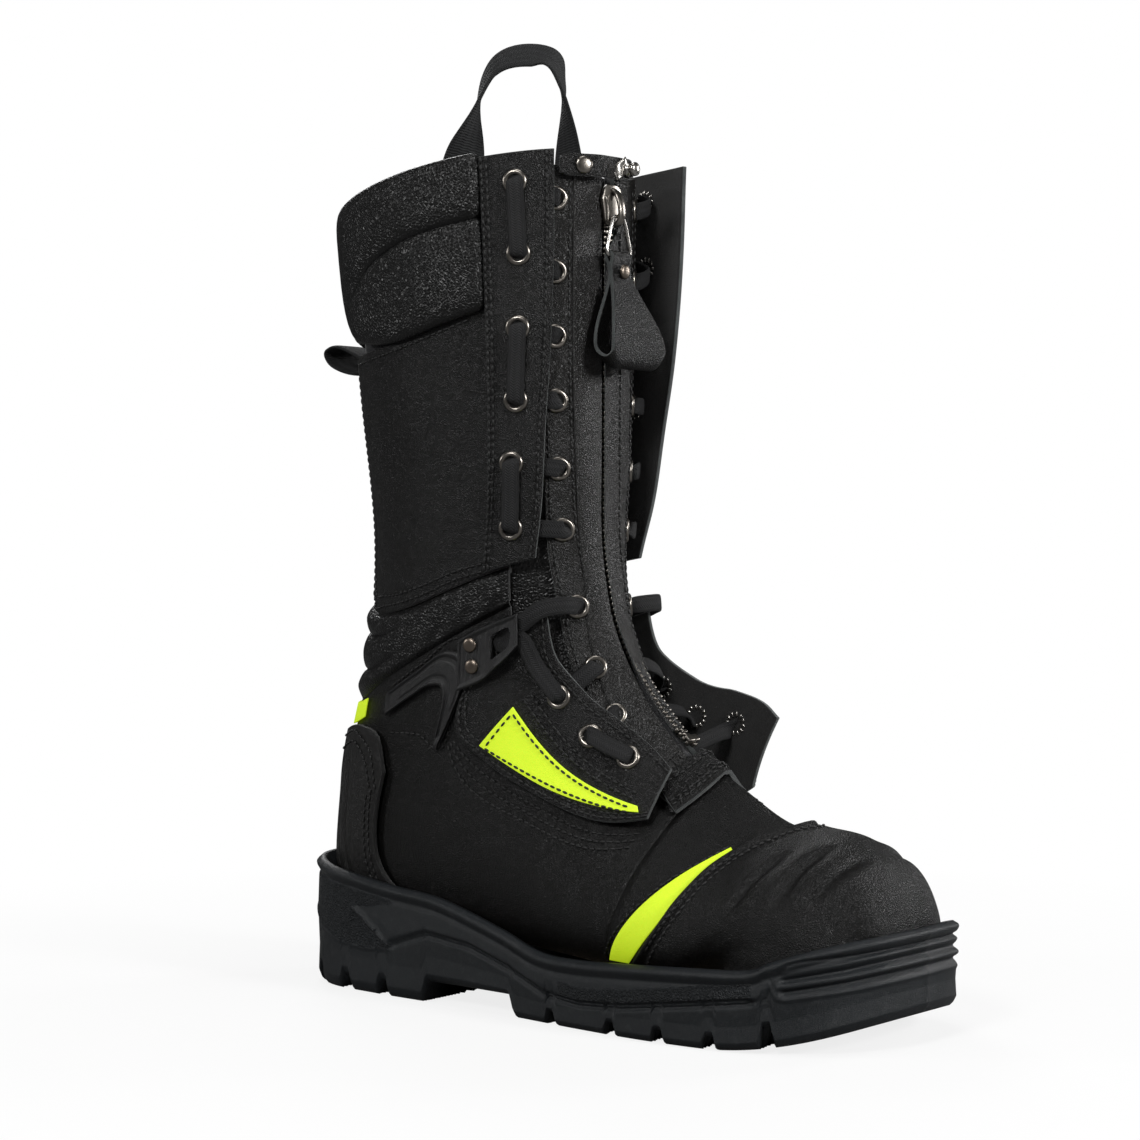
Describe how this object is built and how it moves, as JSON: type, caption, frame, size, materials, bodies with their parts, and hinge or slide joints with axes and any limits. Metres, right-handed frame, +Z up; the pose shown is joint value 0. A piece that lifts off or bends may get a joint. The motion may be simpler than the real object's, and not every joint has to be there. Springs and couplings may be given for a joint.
{
  "type": "firefighter boot",
  "caption": "Tall leather firefighter's boot for the right foot, with a laced-in front zip, padded collar, hi-vis inserts and a lugged rubber sole.",
  "frame": {"origin": "on the floor under the middle of the boot's bounding box", "axes": "+Z up along the shaft, -Y towards the toe, +Y towards the heel, -X towards the outer side of the right foot"},
  "size_m": [0.121, 0.31, 0.4185],
  "materials": {
    "leather": "smooth black leather, satin",
    "grained_leather": "pebbled black leather",
    "lining": "dark woven lining",
    "hi_vis": "fluorescent yellow, matt",
    "rubber": "black rubber, satin",
    "steel": "pressed steel",
    "dark_metal": "dark nickel",
    "plastic": "black, satin",
    "textile": "black webbing and cord",
    "board": "fibre board"
  },
  "bodies": {
    "boot": {"vamp": "leather", "lower_quarter_lateral": "leather", "lower_quarter_medial": "leather", "shaft_quarter_lateral": "leather", "shaft_quarter_medial": "leather", "back_strip": "leather", "tongue": "leather", "toe_scuff_cap": "leather", "heel_counter_cover": "leather", "upper_facing_lateral": "leather", "upper_facing_medial": "leather", "zip_strip_lateral": "leather", "zip_strip_medial": "leather", "zip_base_band": "leather", "ankle_bellows": "grained_leather", "collar_pad_upper": "grained_leather", "collar_pad_lower_lateral": "grained_leather", "collar_pad_lower_medial": "grained_leather", "lower_facing_lateral": "grained_leather", "lower_facing_medial": "grained_leather", "lining_vamp": "lining", "lining_foot": "lining", "lining_shaft": "lining", "footbed": "lining", "hivis_crescent_lateral": "hi_vis", "hivis_crescent_medial": "hi_vis", "hivis_heel_strip": "hi_vis", "hivis_triangle_lateral": "hi_vis", "hivis_triangle_medial": "hi_vis", "midsole": "rubber", "outsole": "rubber", "safety_toe_cap": "steel", "zip_teeth_lateral": "dark_metal", "zip_teeth_medial": "dark_metal", "zip_bottom_stop": "dark_metal", "hook_rivet_lateral_1": "dark_metal", "hook_rivet_lateral_2": "dark_metal", "hook_rivet_medial_1": "dark_metal", "hook_rivet_medial_2": "dark_metal", "heel_stiffener": "plastic", "ankle_protector_lateral": "plastic", "ankle_protector_medial": "plastic", "lace_hook_lateral": "plastic", "lace_hook_medial": "plastic", "zip_tape_lateral": "textile", "zip_tape_medial": "textile", "lace_lateral": "textile", "lace_medial": "textile", "loop_anchor_back": "textile", "loop_anchor_front": "textile", "insole_board": "board"},
    "slider": {"zip_slider": "dark_metal"},
    "bail": {"zip_bail": "dark_metal"},
    "pull": {"zip_pull": "leather", "pull_rivet": "dark_metal"},
    "strap": {"snap_strap": "leather", "snap_cap": "dark_metal", "snap_stud": "dark_metal"},
    "loop": {"carrying_loop": "textile"},
    "tab": {"rear_pull_tab": "textile"}
  },
  "joints": [
    {"name": "zip_slide", "type": "slide", "parent": "boot", "child": "slider", "axis": [0, 0, -1], "range_m": [0, 0.085]},
    {"name": "bail_hinge", "type": "hinge", "parent": "slider", "child": "bail", "pos_m": [-0.00131, -0.00654, 0.3344], "axis": [-1, 0, 0], "range_deg": [0, 90]},
    {"name": "pull_hinge", "type": "hinge", "parent": "bail", "child": "pull", "pos_m": [-0.00131, -0.00654, 0.3174], "axis": [-1, 0, 0], "range_deg": [0, 90]},
    {"name": "strap_hinge", "type": "hinge", "parent": "boot", "child": "strap", "pos_m": [-0.02831, 0.00226, 0.3544], "axis": [0, 0, -1], "range_deg": [0, 80]},
    {"name": "loop_hinge", "type": "hinge", "parent": "boot", "child": "loop", "pos_m": [0.0252, 0.11065, 0.33723], "axis": [0.2554, -0.9668, 0], "range_deg": [-8, 40]},
    {"name": "tab_hinge", "type": "hinge", "parent": "boot", "child": "tab", "pos_m": [-0.00131, 0.12827, 0.27603], "axis": [1, 0, 0], "range_deg": [-40, 3]}
  ]
}
